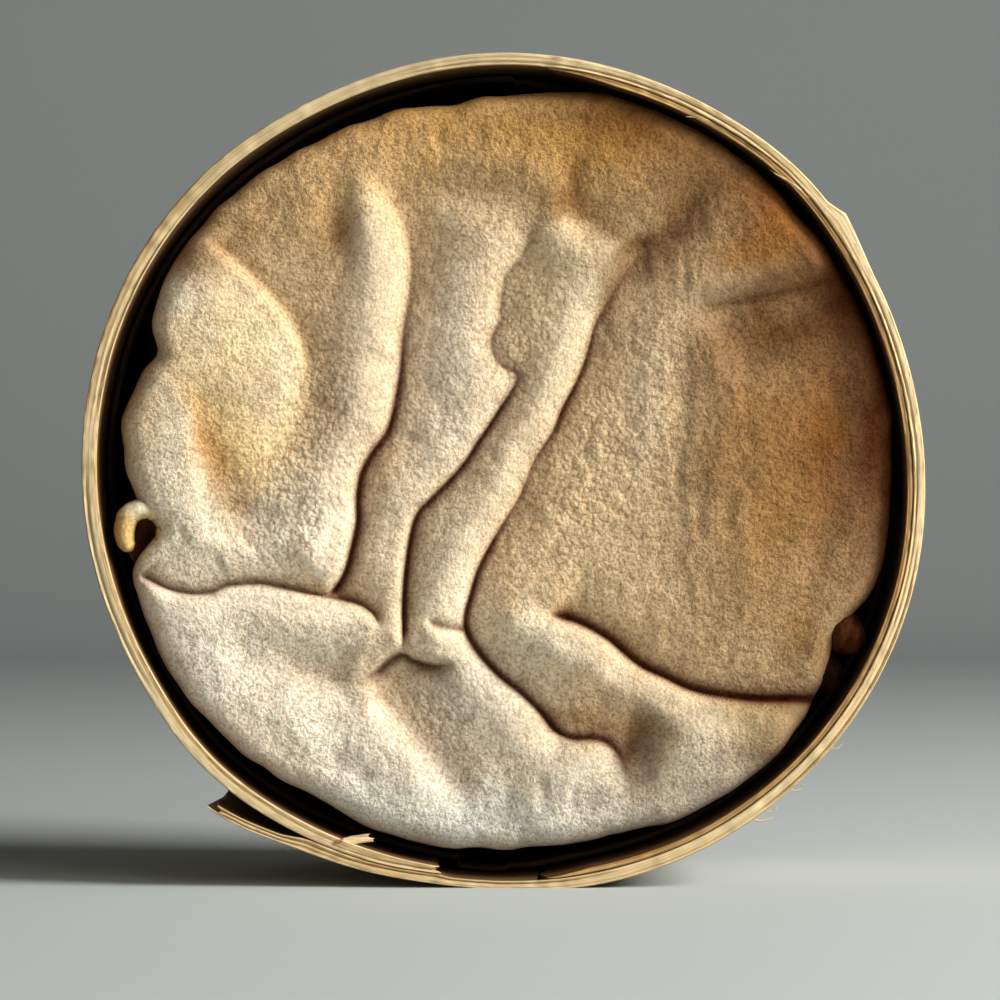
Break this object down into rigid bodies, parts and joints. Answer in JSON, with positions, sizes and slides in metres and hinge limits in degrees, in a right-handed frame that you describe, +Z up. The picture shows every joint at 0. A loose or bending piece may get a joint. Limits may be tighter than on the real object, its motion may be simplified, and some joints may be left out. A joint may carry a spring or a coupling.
{
  "type": "cheese wheel in a bentwood case",
  "caption": "Small soft cheese wheel with a deeply wrinkled washed rind, in its thin round bentwood case, standing on edge.",
  "frame": {"origin": "middle of the footprint, on the floor that the case's hoop stands on", "axes": "+Z up, +X to the viewer's right, +Y away from the viewer, from the cheese's face to the case's base"},
  "size_m": [0.1201, 0.05, 0.1189],
  "materials": {
    "rind": "dry, velvety washed rind",
    "spruce": "bare, pale, unvarnished",
    "spruce_inner": "bare, darkened by the cheese",
    "bark": "damp dark bark strip",
    "spruce_board": "bare, sawn"
  },
  "bodies": {
    "root": {"cheese": "rind", "hoop": "spruce", "inner_ply": "spruce_inner", "bark_strap": "bark", "base_board": "spruce_board"}
  },
  "joints": []
}
